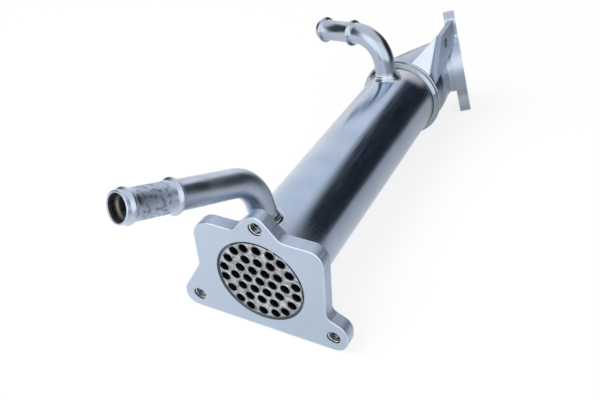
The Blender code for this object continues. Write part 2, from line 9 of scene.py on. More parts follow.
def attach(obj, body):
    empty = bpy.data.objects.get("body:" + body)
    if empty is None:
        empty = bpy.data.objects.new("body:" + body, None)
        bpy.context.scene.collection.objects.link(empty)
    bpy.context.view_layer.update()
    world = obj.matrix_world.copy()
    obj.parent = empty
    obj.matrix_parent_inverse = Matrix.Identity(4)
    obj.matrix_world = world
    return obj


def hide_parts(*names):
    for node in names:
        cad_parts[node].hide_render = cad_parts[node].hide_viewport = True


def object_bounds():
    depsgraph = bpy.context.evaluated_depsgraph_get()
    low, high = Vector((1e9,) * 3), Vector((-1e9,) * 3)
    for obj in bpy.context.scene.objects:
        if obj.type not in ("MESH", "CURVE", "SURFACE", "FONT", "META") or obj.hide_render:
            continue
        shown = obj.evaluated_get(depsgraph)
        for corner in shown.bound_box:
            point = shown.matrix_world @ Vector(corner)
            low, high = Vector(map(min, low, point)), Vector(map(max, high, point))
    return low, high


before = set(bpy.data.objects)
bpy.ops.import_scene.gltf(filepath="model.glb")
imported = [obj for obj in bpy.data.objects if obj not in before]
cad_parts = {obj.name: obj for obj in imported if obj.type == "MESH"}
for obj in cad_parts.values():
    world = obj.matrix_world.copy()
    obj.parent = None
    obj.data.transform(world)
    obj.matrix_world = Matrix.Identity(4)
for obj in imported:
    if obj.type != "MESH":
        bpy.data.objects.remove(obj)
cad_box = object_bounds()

MM = 0.001

# The camera stands where the photograph was taken from: in front of the inlet flange,
# to its right and above it, looking down along the shell.
camera_place = Vector((0.14952, -0.22097, 0.27718))
camera_right = Vector((0.8912, 0.4495, -0.0609))
camera_up = Vector((-0.2243, 0.5533, 0.8023))
camera_axes = Matrix((camera_right, camera_up, camera_right.cross(camera_up))).transposed()
lens = bpy.data.cameras.new("product_lens")
lens.sensor_width = 36
lens.lens = 41.452
lens.clip_start = 0.01
camera = bpy.data.objects.new("product_camera", lens)
camera.matrix_world = Matrix.Translation(camera_place) @ camera_axes.to_4x4()
scene = bpy.context.scene
scene.collection.objects.link(camera)
scene.camera = camera
scene.view_settings.view_transform = "Standard"


# The surroundings are white wherever the camera, a shiny surface or a clear one sees
# them, and a softer white as the light that falls on the floor.
def seen_white(tree):
    """One where a ray comes from the camera or out of a shiny or clear surface."""
    path = tree.nodes.new("ShaderNodeLightPath")
    total = path.outputs["Is Camera Ray"]
    for kind in ("Is Glossy Ray", "Is Transmission Ray"):
        either = tree.nodes.new("ShaderNodeMath")
        either.operation = "MAXIMUM"
        tree.links.new(total, either.inputs[0])
        tree.links.new(path.outputs[kind], either.inputs[1])
        total = either.outputs[0]
    return total


world = bpy.data.worlds.new("white_surroundings")
scene.world = world
world.use_nodes = True
tree = world.node_tree
tree.nodes.clear()
dim = tree.nodes.new("ShaderNodeBackground")
dim.inputs["Strength"].default_value = 0.55
white = tree.nodes.new("ShaderNodeBackground")
white.inputs["Color"].default_value = (1, 1, 1, 1)
white.inputs["Strength"].default_value = 1.0
either = tree.nodes.new("ShaderNodeMixShader")
out = tree.nodes.new("ShaderNodeOutputWorld")
tree.links.new(seen_white(tree), either.inputs["Fac"])
tree.links.new(dim.outputs[0], either.inputs[1])
tree.links.new(white.outputs[0], either.inputs[2])
tree.links.new(either.outputs[0], out.inputs["Surface"])

# The floor is a pale sheet under the flange's lower edge. It is nearly all white to the
# eye, and the rest of it is matt, so that it keeps the cooler's soft shadow. Shiny
# surfaces see it white as well, with a painted shade that makes it greyer on the side of
# the dark board.
floor_level = cad_box[0][2]
floor_radius = 2.5
near_object = 0.25
far_off = 0.55
dark_side = (0.86, 0.50, 0)


def ranged(tree, value, start, end, low=0.0, high=1.0, smooth=True):
    """A value carried from one range over to another, with soft ends or evenly."""
    step = tree.nodes.new("ShaderNodeMapRange")
    if smooth:
        step.interpolation_type = "SMOOTHSTEP"
    for socket, limit in (("From Min", start), ("From Max", end),
                          ("To Min", low), ("To Max", high)):
        step.inputs[socket].default_value = limit
    tree.links.new(value, step.inputs["Value"])
    return step.outputs[0]


def multiplied(tree, first, second):
    """The product of two values."""
    step = tree.nodes.new("ShaderNodeMath")
    step.operation = "MULTIPLY"
    tree.links.new(first, step.inputs[0])
    tree.links.new(second, step.inputs[1])
    return step.outputs[0]


floor_middle = Vector((0, 0.11, floor_level))
bm = bmesh.new()
bmesh.ops.create_circle(bm, cap_ends=True, segments=64, radius=floor_radius,
                        matrix=Matrix.Translation(floor_middle))
mesh = bpy.data.meshes.new("pale_floor")
bm.to_mesh(mesh)
bm.free()
floor = bpy.data.objects.new("pale_floor", mesh)
scene.collection.objects.link(floor)
material = bpy.data.materials.new("pale_floor")
material.use_nodes = True
tree = material.node_tree
tree.nodes.clear()
place = tree.nodes.new("ShaderNodeTexCoord")
reach = tree.nodes.new("ShaderNodeVectorMath")
reach.operation = "DISTANCE"
reach.inputs[1].default_value = floor_middle
tree.links.new(place.outputs["Object"], reach.inputs[0])
towards_board = tree.nodes.new("ShaderNodeVectorMath")
towards_board.operation = "DOT_PRODUCT"
towards_board.inputs[1].default_value = dark_side
tree.links.new(place.outputs["Object"], towards_board.inputs[0])
seen_share = ranged(tree, reach.outputs["Value"], near_object, far_off, 0.80, 1.0, smooth=False)
# Painted shade: shiny surfaces see the floor greyer on the dark board's side.
darkest = ranged(tree, reach.outputs["Value"], near_object, far_off, 0.42, 0.08)
greyer = ranged(tree, towards_board.outputs["Value"], -0.10, 0.22, low=1.0)
tree.links.new(darkest, greyer.node.inputs["To Max"])
path = tree.nodes.new("ShaderNodeLightPath")
tone = tree.nodes.new("ShaderNodeMix")
tone.inputs["A"].default_value = 1.0
tree.links.new(path.outputs["Is Glossy Ray"], tone.inputs["Factor"])
tree.links.new(greyer, tone.inputs["B"])
glow = tree.nodes.new("ShaderNodeEmission")
tree.links.new(tone.outputs["Result"], glow.inputs["Strength"])
matt = tree.nodes.new("ShaderNodeBsdfDiffuse")
matt.inputs["Color"].default_value = (0.9, 0.9, 0.9, 1)
mixed = tree.nodes.new("ShaderNodeMixShader")
out = tree.nodes.new("ShaderNodeOutputMaterial")
tree.links.new(multiplied(tree, seen_white(tree), seen_share), mixed.inputs["Fac"])
tree.links.new(matt.outputs[0], mixed.inputs[1])
tree.links.new(glow.outputs[0], mixed.inputs[2])
tree.links.new(mixed.outputs[0], out.inputs["Surface"])
mesh.materials.append(material)

# Two large soft lamps light the floor. Polished steel shows what stands round it, so a
# photographer's boards do: two dark ones and two lit ones, which only reflections see,
# and whose edges fade into the white surroundings.
object_middle = Vector((0, 0.11, 0.04))
for name, spot, size, power in (
        ("key_lamp", Vector((-0.7, -0.5, 1.25)), 1.3, 22),
        ("fill_lamp", Vector((0.9, -0.9, 1.0)), 1.1, 12)):
    lamp = bpy.data.lights.new(name, "AREA")
    lamp.size = size
    lamp.energy = power
    lamp_object = bpy.data.objects.new(name, lamp)
    lamp_object.location = spot
    lamp_object.rotation_euler = (object_middle - spot).to_track_quat("-Z", "Y").to_euler()
    lamp_object.visible_glossy = False
    scene.collection.objects.link(lamp_object)


def board(name, bearing, distance, width, low, high, colour, fade):
    """An upright board at a bearing from +X towards +Y, with its colour in its middle."""
    angle = math.radians(bearing)
    away = Vector((math.cos(angle), math.sin(angle), 0))
    axes = Matrix((Vector((0, 0, 1)).cross(-away), Vector((0, 0, 1)), -away)).transposed()
    middle = object_middle + away * distance
    middle.z = (low + high) / 2
    bm = bmesh.new()
    bm.loops.layers.uv.new("UVMap")
    bmesh.ops.create_grid(bm, x_segments=1, y_segments=1, size=0.5, calc_uvs=True)
    bmesh.ops.scale(bm, vec=(width, high - low, 1), verts=bm.verts)
    bmesh.ops.transform(bm, matrix=Matrix.Translation(middle) @ axes.to_4x4(), verts=bm.verts)
    mesh = bpy.data.meshes.new(name)
    bm.to_mesh(mesh)
    bm.free()
    material = bpy.data.materials.new(name)
    material.use_nodes = True
    tree = material.node_tree
    tree.nodes.clear()
    spot = tree.nodes.new("ShaderNodeUVMap")
    parts = tree.nodes.new("ShaderNodeSeparateXYZ")
    tree.links.new(spot.outputs[0], parts.inputs[0])
    inside = None
    for axis, length in (("X", width), ("Y", high - low)):
        off_middle = tree.nodes.new("ShaderNodeMath")
        off_middle.operation = "SUBTRACT"
        off_middle.inputs[1].default_value = 0.5
        tree.links.new(parts.outputs[axis], off_middle.inputs[0])
        far = tree.nodes.new("ShaderNodeMath")
        far.operation = "ABSOLUTE"
        tree.links.new(off_middle.outputs[0], far.inputs[0])
        full = ranged(tree, far.outputs[0], 0.5, 0.5 - fade / length)
        inside = full if inside is None else multiplied(tree, inside, full)
    level = tree.nodes.new("ShaderNodeMix")
    level.data_type = "RGBA"
    level.inputs["A"].default_value = (1, 1, 1, 1)
    level.inputs["B"].default_value = (*colour, 1)
    tree.links.new(inside, level.inputs["Factor"])
    glow = tree.nodes.new("ShaderNodeEmission")
    tree.links.new(level.outputs["Result"], glow.inputs["Color"])
    out = tree.nodes.new("ShaderNodeOutputMaterial")
    tree.links.new(glow.outputs[0], out.inputs["Surface"])
    mesh.materials.append(material)
    panel = bpy.data.objects.new(name, mesh)
    scene.collection.objects.link(panel)
    panel.visible_camera = False
    panel.visible_diffuse = False
    panel.visible_shadow = False


board("dark_board_right", bearing=48, distance=1.6, width=3.1, low=-0.5, high=1.95,
      colour=(0.018, 0.023, 0.031), fade=0.5)
board("dark_board_left", bearing=184, distance=1.5, width=2.7, low=-0.3, high=1.75,
      colour=(0.035, 0.042, 0.055), fade=0.35)
board("lit_board_front", bearing=-95, distance=1.5, width=2.7, low=-0.4, high=2.3,
      colour=(1.8, 1.8, 1.8), fade=0.5)
board("lit_board_side", bearing=-30, distance=1.6, width=1.9, low=-0.4, high=2.5,
      colour=(1.5, 1.5, 1.5), fade=0.5)

# Gas tubes: thirty-seven thin drawn stainless tubes in a rounded hexagon. Each is cut
# square, its lip is rounded by the brazing, and it stands just proud of the tube sheet.
axis_height = 33 * MM
gas_axis = Matrix.Translation((0, 0, axis_height))
lengthwise = gas_axis @ Matrix.Rotation(math.radians(-90), 4, "X")
tube_radius = 2.8 * MM
tube_bore = 2.5 * MM
tube_front = -3.7 * MM
tube_back = 208.5 * MM
tube_pitch = 7.33 * MM
usual_crease = 32
merge_reach = 0.001 * MM


def turned(profile, steps, matrix):
    """A bmesh spun from a closed outline of (radius, height) round its own Z axis."""
    bm = bmesh.new()
    verts = [bm.verts.new((radius, 0, height)) for radius, height in profile]
    edges = [bm.edges.new((verts[i - 1], verts[i])) for i in range(len(verts))
             if profile[i - 1][0] or profile[i][0]]
    bmesh.ops.spin(bm, geom=verts + edges, cent=(0, 0, 0), axis=(0, 0, 1), dvec=(0, 0, 0),
                   angle=math.tau, steps=steps, use_merge=True)
    bmesh.ops.remove_doubles(bm, verts=bm.verts, dist=merge_reach)
    bmesh.ops.transform(bm, matrix=matrix, verts=bm.verts)
    return bm


def finished(name, bm, crease=usual_crease):
    """Object made from a bmesh: faces outward, shaded smooth between its creases."""
    bmesh.ops.recalc_face_normals(bm, faces=bm.faces)
    mesh = bpy.data.meshes.new(name)
    bm.to_mesh(mesh)
    bm.free()
    mesh.shade_smooth()
    mesh.set_sharp_from_angle(angle=math.radians(crease))
    piece = bpy.data.objects.new(name, mesh)
    scene.collection.objects.link(piece)
    return piece


def steel(name, colour, roughness, grain=(400, 400, 400), grain_depth=0.05,
          tone_scale=18, tone_depth=0.10, glance=1.6):
    """Bare steel: fine grain, soft patches of tone, and a painted sheen, paler at a low angle."""
    material = bpy.data.materials.new(name)
    material.use_nodes = True
    tree = material.node_tree
    shader = tree.nodes["Principled BSDF"]
    shader.inputs["Metallic"].default_value = 1.0
    place = tree.nodes.new("ShaderNodeTexCoord")
    usual_noise = (0.3, 0.7)
    tones = tree.nodes.new("ShaderNodeTexNoise")
    tones.inputs["Scale"].default_value = tone_scale
    tones.inputs["Detail"].default_value = 4
    tree.links.new(place.outputs["Object"], tones.inputs["Vector"])
    patches = ranged(tree, tones.outputs["Fac"], *usual_noise, 1 - tone_depth, 1 + tone_depth,
                     smooth=False)
    shade = tree.nodes.new("ShaderNodeVectorMath")
    shade.operation = "SCALE"
    shade.inputs[0].default_value = colour
    tree.links.new(patches, shade.inputs["Scale"])
    # Painted sheen: the colour turns paler, towards white, where a surface is seen at a low angle.
    low_angle = tree.nodes.new("ShaderNodeFresnel")
    low_angle.inputs["IOR"].default_value = glance
    tint = tree.nodes.new("ShaderNodeMix")
    tint.data_type = "RGBA"
    tint.inputs["B"].default_value = (0.93, 0.96, 1.0, 1)
    tree.links.new(low_angle.outputs[0], tint.inputs["Factor"])
    tree.links.new(shade.outputs[0], tint.inputs["A"])
    tree.links.new(tint.outputs["Result"], shader.inputs["Base Color"])
    stretch = tree.nodes.new("ShaderNodeMapping")
    stretch.inputs["Scale"].default_value = grain
    stretch.inputs["Rotation"].default_value = (0.5, 0.7, 0.3)
    tree.links.new(place.outputs["Object"], stretch.inputs["Vector"])
    lines = tree.nodes.new("ShaderNodeTexNoise")
    lines.inputs["Scale"].default_value = 1.0
    lines.inputs["Detail"].default_value = 5
    tree.links.new(stretch.outputs[0], lines.inputs["Vector"])
    gloss = ranged(tree, lines.outputs["Fac"], *usual_noise, roughness * 0.8, roughness * 1.25,
                   smooth=False)
    tree.links.new(gloss, shader.inputs["Roughness"])
    bump = tree.nodes.new("ShaderNodeBump")
    bump.inputs["Strength"].default_value = grain_depth
    bump.inputs["Distance"].default_value = 0.5 * MM
    tree.links.new(lines.outputs["Fac"], bump.inputs["Height"])
    tree.links.new(bump.outputs[0], shader.inputs["Normal"])
    return material


def changed(material, mask, colour, roughness):
    """Another colour and roughness on a steel, where the mask is one."""
    tree = material.node_tree
    shader = tree.nodes["Principled BSDF"]
    for socket, value in (("Base Color", (*colour, 1)), ("Roughness", roughness)):
        before = shader.inputs[socket].links[0].from_socket
        mix = tree.nodes.new("ShaderNodeMix")
        if socket == "Base Color":
            mix.data_type = "RGBA"
        tree.links.new(mask, mix.inputs["Factor"])
        tree.links.new(before, mix.inputs["A"])
        mix.inputs["B"].default_value = value
        tree.links.new(mix.outputs["Result"], shader.inputs[socket])


def along_axis(material, start, end):
    """A mask that grows from nought to one between two places along the shell."""
    tree = material.node_tree
    place = tree.nodes.new("ShaderNodeTexCoord")
    parts = tree.nodes.new("ShaderNodeSeparateXYZ")
    tree.links.new(place.outputs["Object"], parts.inputs[0])
    return ranged(tree, parts.outputs["Y"], start, end)


outer_corner = 21.35 * MM
outer_middle = 20.67 * MM
corner_spread = math.radians(9.3)
tube_places = [(0.0, 0.0)]
for k in range(6):
    main = k * math.radians(60)
    between = main + math.radians(30)
    tube_places += [(r * math.cos(angle), r * math.sin(angle)) for r, angle in (
        (tube_pitch, main), (tube_pitch * 2, main), (tube_pitch * math.sqrt(3), between),
        (outer_corner, main - corner_spread), (outer_corner, main + corner_spread),
        (outer_middle, between))]

mouth_bore = 2.7 * MM
tube_profile = [
    (tube_radius, tube_back), (tube_radius, tube_front + 0.1 * MM),
    (tube_radius - 0.06 * MM, tube_front), (mouth_bore, tube_front),
    (tube_bore, tube_front + 0.7 * MM), (tube_bore, tube_back)]
tube_steel = steel("tube_steel", (0.72, 0.74, 0.78), 0.25, (900, 60, 900), 0.06)
# Painted shade: the tubes' bores are coloured dark, and darker still from 0.4 mm inside the mouth.
tube_bore_shade = steel("tube_bore_shade", (0.10, 0.10, 0.11), 0.4, (900, 60, 900), 0.06)
mouth_end = -3.3 * MM
changed(tube_bore_shade, along_axis(tube_bore_shade, tube_front, mouth_end), (0.024, 0.028, 0.04), 0.5)
for number, (x, z) in enumerate(tube_places, start=1):
    spot = lengthwise @ Matrix.Translation((x, -z, 0))
    tube = finished(f"gas_tube_{number:02d}", turned(tube_profile, 28, spot))
    tube.data.materials.append(tube_steel)
    tube.data.materials.append(tube_bore_shade)
    centre = spot.translation
    for face in tube.data.polygons:
        out = (face.center - centre).xz.length
        face.material_index = 1 if out < mouth_bore else 0
    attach(tube, "root")
    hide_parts(f"core_tube_{number:02d}")

# Tube sheets: two stamped discs that carry the tubes' ends, furnace brazed. The front
# one shows in the flange's bore; its braze climbs each tube in a small fillet.
sheet_radius = 25.4 * MM
sheet_front = -3.4 * MM
sheet_thickness = 2.0 * MM
rear_sheet_front = 206.2 * MM
sheet_hole = tube_radius + 0.05 * MM
groove_radius = 24.2 * MM
groove_depth = 0.7 * MM
groove_outside = 26 * MM
beyond = 1 * MM


def solid_cylinder(radius, bottom, top, sides, matrix):
    """A capped cylinder between two heights of a frame."""
    bm = bmesh.new()
    bmesh.ops.create_cone(bm, cap_ends=True, segments=sides, radius1=radius, radius2=radius,
                          depth=top - bottom,
                          matrix=matrix @ Matrix.Translation((0, 0, (top + bottom) / 2)))
    return bm


def shaped(piece, cutters, operation="DIFFERENCE"):
    """Cuts the cutters out of a piece, or joins them on, and removes them."""
    for cutter in cutters:
        step = piece.modifiers.new("shaped", "BOOLEAN")
        step.solver = "EXACT"
        step.operation = operation
        step.object = cutter
    bpy.context.view_layer.update()
    mesh = bpy.data.meshes.new_from_object(
        piece.evaluated_get(bpy.context.evaluated_depsgraph_get()))
    piece.modifiers.clear()
    mesh.name = piece.name
    bm = bmesh.new()
    bm.from_mesh(mesh)
    bmesh.ops.remove_doubles(bm, verts=bm.verts, dist=merge_reach)
    bm.to_mesh(mesh)
    bm.free()
    piece.data = mesh
    mesh.shade_smooth()
    mesh.set_sharp_from_angle(angle=math.radians(usual_crease))
    for cutter in cutters:
        bpy.data.objects.remove(cutter, do_unlink=True)


sheet_steel = steel("sheet_steel", (0.38, 0.395, 0.43), 0.27, (500, 500, 500), 0.8, 420, 0.7)
# Painted shade: the groove round the sheet's edge, and the inlet flange's bore wall, are coloured
# dark.
groove_shade = steel("groove_shade", (0.06, 0.08, 0.115), 0.42)
for name, node, front in (("front_sheet_disc", "front_tube_sheet", sheet_front),
                          ("rear_sheet_disc", "rear_tube_sheet", rear_sheet_front)):
    sheet = finished(name, solid_cylinder(
        sheet_radius, front, front + sheet_thickness, 128, lengthwise))
    bm = bmesh.new()
    for x, z in tube_places:
        bmesh.ops.create_cone(
            bm, cap_ends=True, segments=28, radius1=sheet_hole, radius2=sheet_hole,
            depth=sheet_thickness * 3,
            matrix=lengthwise @ Matrix.Translation((x, -z, front + sheet_thickness / 2)))
    groove = turned([
        (groove_radius, front - beyond), (groove_radius, front + groove_depth),
        (groove_outside, front + groove_depth), (groove_outside, front - beyond)],
        128, lengthwise)
    shaped(sheet, [finished("sheet_holes", bm), finished("edge_groove", groove)])
    sheet.data.materials.append(sheet_steel)
    sheet.data.materials.append(groove_shade)
    for face in sheet.data.polygons:
        out = (face.center - gas_axis.translation).xz.length
        face.material_index = 1 if out > groove_radius - 0.05 * MM else 0
    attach(sheet, "root")
    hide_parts(node)

fillet = 0.55 * MM
fillet_height = 0.2 * MM
bm = bmesh.new()
for x, z in tube_places:
    ring = turned(
        [(sheet_hole, sheet_front), (sheet_hole, sheet_front - fillet_height * 0.1),
         (sheet_hole + fillet * 0.25, sheet_front - fillet_height * 0.3),
         (sheet_hole + fillet * 0.4, sheet_front - fillet_height),
         (sheet_hole + fillet * 0.75, sheet_front - fillet_height * 0.7),
         (sheet_hole + fillet, sheet_front)], 28,
        lengthwise @ Matrix.Translation((x, -z, 0)))
    mesh = bpy.data.meshes.new("fillet_ring")
    ring.to_mesh(mesh)
    ring.free()
    bm.from_mesh(mesh)
    bpy.data.meshes.remove(mesh)
fillets = finished("tube_braze_fillets", bm, 40)
fillets.data.materials.append(
    steel("braze_steel", (0.34, 0.35, 0.38), 0.2, (500, 500, 500), 0.2, 400, 0.5))
fillets.data.materials.append(steel("braze_gap", (0.07, 0.07, 0.08), 0.5))
for face in fillets.data.polygons:
    out = min((face.center.xz - Vector((x, z + axis_height))).length for x, z in tube_places)
    face.material_index = 1 if out < sheet_hole + fillet * 0.38 else 0
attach(fillets, "root")

# Shell: a drawn and polished stainless tube, brazed into the flange in front and the
# collar behind, and bored for the two hose pipes. Beside the collar its top has a pale
# painted reflection, and behind the flange it is rougher, with a paler painted sheen.
shell_radius = 25.4 * MM
shell_wall = 0.9 * MM
shell_front = -1.1 * MM
shell_back = 205.9 * MM
clock_angle = math.radians(-14)
front_lean = math.radians(1.0)
rear_lean = math.radians(3.1)
clocked = gas_axis @ Matrix.Rotation(clock_angle, 4, "Y")
front_base = 16.8 * MM
rear_base = 188.8 * MM
front_stand = clocked @ Matrix.Translation((0, front_base, 0)) @ Matrix.Rotation(
    front_lean, 4, "Y")
rear_stand = clocked @ Matrix.Translation((0, rear_base, 0)) @ Matrix.Rotation(
    rear_lean, 4, "Y")
front_radius = 7.5 * MM
rear_radius = 7.0 * MM
seat_gap = 0.3 * MM

shell_inner = shell_radius - shell_wall
shell_profile = [(shell_radius, shell_back), (shell_radius, shell_front),
                 (shell_inner, shell_front), (shell_inner, shell_back)]
shell = finished("drawn_shell", turned(shell_profile, 256, lengthwise))
ports = [
    finished("port", solid_cylinder(radius + seat_gap, 0, shell_radius * 1.5, 96, stand))
    for radius, stand in ((front_radius, front_stand), (rear_radius, rear_stand))]
shaped(shell, ports)
shell_steel = steel("shell_steel", (0.36, 0.455, 0.615), 0.21, (700, 30, 700), 0.015, 35, 0.10)
tree = shell_steel.node_tree
# Painted reflection: a pale, rougher patch on the shell's top beside the collar.
near_collar = along_axis(shell_steel, 186 * MM, 199 * MM)
place = tree.nodes.new("ShaderNodeTexCoord")
towards_top = tree.nodes.new("ShaderNodeVectorMath")
towards_top.operation = "DISTANCE"
towards_top.inputs[1].default_value = (9.5 * MM, 200 * MM, axis_height + 24 * MM)
tree.links.new(place.outputs["Object"], towards_top.inputs[0])
collar_reflection = ranged(tree, towards_top.outputs["Value"], 15 * MM, 8 * MM)
changed(shell_steel, multiplied(tree, near_collar, collar_reflection), (0.75, 0.77, 0.81), 0.55)
# Painted sheen: behind the flange the shell is paler, and rougher as well.
changed(shell_steel, along_axis(shell_steel, 38 * MM, 2 * MM), (0.42, 0.49, 0.62), 0.45)
shell.data.materials.append(shell_steel)
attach(shell, "root")
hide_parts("shell")

# Coolant hose pipes: drawn stainless tube, each with one bend, a stop bead where the
# hose ends and a smaller bead close to its mouth.
pipe_wall = 1.1 * MM
foot_depth = 5.0 * MM
bead_half = 2.2 * MM
pipe_segments = 72


def ringed(stations, segments):
    """A bmesh skinned over a closed row of circles, each a frame and a radius."""
    bm = bmesh.new()
    rings = []
    for matrix, radius in stations:
        made = bmesh.ops.create_circle(bm, cap_ends=False, segments=segments,
                                       radius=radius, matrix=matrix)
        rings.append({edge for vert in made["verts"] for edge in vert.link_edges})
    for near, far in zip(rings, rings[1:]):
        bmesh.ops.bridge_loops(bm, edges=list(near | far))
    bmesh.ops.bridge_loops(bm, edges=list(rings[-1] | rings[0]))
    return bm


def hose_pipe(name, stand, radius, rise, bend, run, swing, lift, beads):
    """A bent pipe, with its straight run's start and way. Beads are (place, height)."""
    up = Vector((0, 0, 1))
    along = Vector((-math.sin(swing) * math.cos(lift), -math.cos(swing) * math.cos(lift),
                    math.sin(lift)))
    towards = (along - up * along.z).normalized()
    side = up.cross(along).normalized()
    total = up.angle(along)
    centre = up * rise + towards * bend
    foot = shell_radius - foot_depth
    bend_steps = 28
    bead_steps = 8
    path = [(up * foot, up, 0.0), (up * (foot + rise) / 2, up, 0.0)]
    for step in range(bend_steps + 1):
        angle = total * step / bend_steps
        point = centre - towards * bend * math.cos(angle) + up * bend * math.sin(angle)
        path.append((point, up * math.cos(angle) + towards * math.sin(angle), 0.0))
    bend_end = path[-1][0]
    for middle, height in beads:
        for step in range(-bead_steps, bead_steps + 1):
            share = step / bead_steps
            hump = height * (0.5 + 0.5 * math.cos(math.pi * share)) ** 0.75
            path.append((bend_end + along * (middle + share * bead_half), along, hump))
    mouth = bend_end + along * run
    lip = pipe_wall / 2
    rounding = [(0.55, 0.0), (0.16, 0.16), (0.0, 0.55), (0.0, 1.45), (0.16, 1.84), (0.55, 2.0)]

    def frame_at(point, way):
        """A circle's frame at a point of the path."""
        axes = Matrix((side, way.cross(side), way)).transposed().to_4x4()
        return stand @ Matrix.Translation(point) @ axes

    outer = [(frame_at(point, way), radius + extra) for point, way, extra in path]
    lips = [(frame_at(mouth - along * lip * back, along), radius - lip * inward)
            for back, inward in rounding]
    inner = [(frame_at(point, way), radius - pipe_wall + extra * 0.8)
             for point, way, extra in reversed(path)]
    way_out = (stand.to_3x3() @ along).normalized()
    pipe = finished(name, ringed(outer + lips + inner, pipe_segments), 50)
    return pipe, stand @ bend_end, way_out


front_pipe, front_start, front_way = hose_pipe(
    "front_hose_pipe", front_stand, front_radius, rise=35.6 * MM, bend=20.7 * MM,
    run=67.5 * MM, swing=math.radians(9.2), lift=math.radians(23.4),
    beads=((38.0 * MM, 1.4 * MM), (63.5 * MM, 1.0 * MM)))
rear_pipe, rear_start, rear_way = hose_pipe(
    "rear_hose_pipe", rear_stand, rear_radius, rise=36.2 * MM, bend=19.4 * MM,
    run=33.7 * MM, swing=math.radians(106.3), lift=math.radians(2.1),
    beads=((4.5 * MM, 1.9 * MM), (29.7 * MM, 1.9 * MM)))
dull_pipe_steel = steel(
    "dull_pipe_steel", (0.47, 0.555, 0.69), 0.33, (120, 120, 120), 0.015, 50, 0.12)
bright_pipe_steel = steel(
    "bright_pipe_steel", (0.37, 0.435, 0.53), 0.25, (70, 70, 70), 0.004, 30, 0.08)
pipe_inside = steel(
    "pipe_inside", (0.32, 0.31, 0.30), 0.35, (260, 260, 260), 0.05, 200, 0.4)

tree = dull_pipe_steel.node_tree
place = tree.nodes.new("ShaderNodeTexCoord")
along_run = tree.nodes.new("ShaderNodeVectorMath")
along_run.operation = "DOT_PRODUCT"
along_run.inputs[1].default_value = front_way
tree.links.new(place.outputs["Object"], along_run.inputs[0])
run_start = front_way.dot(front_start)
smears = tree.nodes.new("ShaderNodeTexNoise")
smears.inputs["Scale"].default_value = 480
smears.inputs["Detail"].default_value = 0
tree.links.new(place.outputs["Object"], smears.inputs["Vector"])
scuffs_begin, scuffs_end = (
    ranged(tree, along_run.outputs["Value"], run_start + start, run_start + end)
    for start, end in ((41.5 * MM, 44.5 * MM), (61.0 * MM, 58.5 * MM)))
scuffed = multiplied(tree, scuffs_begin, scuffs_end)
changed(dull_pipe_steel, scuffed, (0.47, 0.55, 0.68), 0.48)
dark_smear = ranged(tree, smears.outputs["Fac"], 0.50, 0.70, smooth=False)
changed(dull_pipe_steel, multiplied(tree, scuffed, dark_smear), (0.25, 0.30, 0.39), 0.5)
for pipe, node, look, start, way in (
        (front_pipe, "front_coolant_pipe", dull_pipe_steel, front_start, front_way),
        (rear_pipe, "rear_coolant_pipe", bright_pipe_steel, rear_start, rear_way)):
    pipe.data.materials.append(look)
    pipe.data.materials.append(pipe_inside)
    for face in pipe.data.polygons:
        outward = face.center - start
        outward -= way * outward.dot(way)
        inward = face.normal.dot(outward) < -0.5 * outward.length
        if inward and (face.center - start).dot(way) > 0:
            face.material_index = 1
    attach(pipe, "root")
    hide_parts(node)

# Braze fillets round the pipes' feet: filler that ran into the corner between pipe and
# shell. Each climbs the pipe, spreads on the shell, and is slightly wrinkled.
weld_reach = 3.2 * MM
weld_height = 5.0 * MM


def foot_fillet(name, stand, radius, seed):
    """A wrinkled ring of filler, bent down over the shell's curve."""
    inner = radius + 0.05 * MM
    low = shell_radius - 0.2 * MM
    profile = []
    rows = 32
    ripple_depth = 0.14
    for row in range(rows + 1):
        down = row / rows
        wrinkle = 0.13 * MM * math.sin(down * math.tau * 3.5) * math.sin(down * math.pi)
        profile.append((inner + weld_reach * down ** 1.9 + max(0, wrinkle),
                        shell_radius + weld_height * (1 - down) ** 1.7 + wrinkle))
    profile += [(inner + weld_reach, low), (inner, low)]
    bm = turned(profile, 160, Matrix.Identity(4))
    for vert in bm.verts:
        across = Vector((vert.co.x, vert.co.y, 0))
        distance = across.length
        way = across / distance
        ripple = noise.noise(Vector((way.x * 2.3 + seed, way.y * 2.3, vert.co.z * 60)))
        spread = (distance - inner) / weld_reach
        climb = max(0.0, vert.co.z - shell_radius) / weld_height
        distance += spread * weld_reach * ripple_depth * ripple
        height = vert.co.z + climb * weld_height * ripple_depth * ripple
        point = way * distance
        drop = shell_radius - math.sqrt(shell_radius ** 2 - point.x ** 2)
        vert.co = Vector((point.x, point.y, height - drop))
    bmesh.ops.transform(bm, matrix=stand, verts=bm.verts)
    return finished(name, bm, 60)


weld_steel = steel("weld_steel", (0.46, 0.53, 0.63), 0.22, (350, 350, 350), 0.10, 70, 0.15)
for name, stand, radius, seed in (("front_pipe", front_stand, front_radius, 3.7),
                                  ("rear_pipe", rear_stand, rear_radius, 8.2)):
    fillet_piece = foot_fillet(name + "_fillet", stand, radius, seed)
    fillet_piece.data.materials.append(weld_steel)
    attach(fillet_piece, "root")
    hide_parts(name + "_weld")

# Inlet flange: eight-millimetre plate, cut to an outline with three ears and blasted
# matt. Its edges are broken, and its three holes have M8 threads with chamfered mouths.
flange_thickness = 8 * MM
bore_gap = 0.4 * MM
holes_shade_look, sides_look, edge_highlight_look, bore_shade_look = 1, 2, 3, 4
standing = gas_axis @ Matrix.Rotation(math.radians(90), 4, "X")
inlet_corners = [
    (-50.5, -33.0, 7.0), (49.0, -33.0, 8.0), (49.0, -16.8, 7.0), (37.5, -11.68, 4.5),
    (37.5, 30.5, 8.0), (14.76, 30.5, 4.5), (1.0, 45.76, 7.2), (-12.76, 30.5, 4.5),
    (-37.5, 30.5, 11.0), (-37.5, -0.59, 7.0), (-50.5, -21.8, 7.0)]


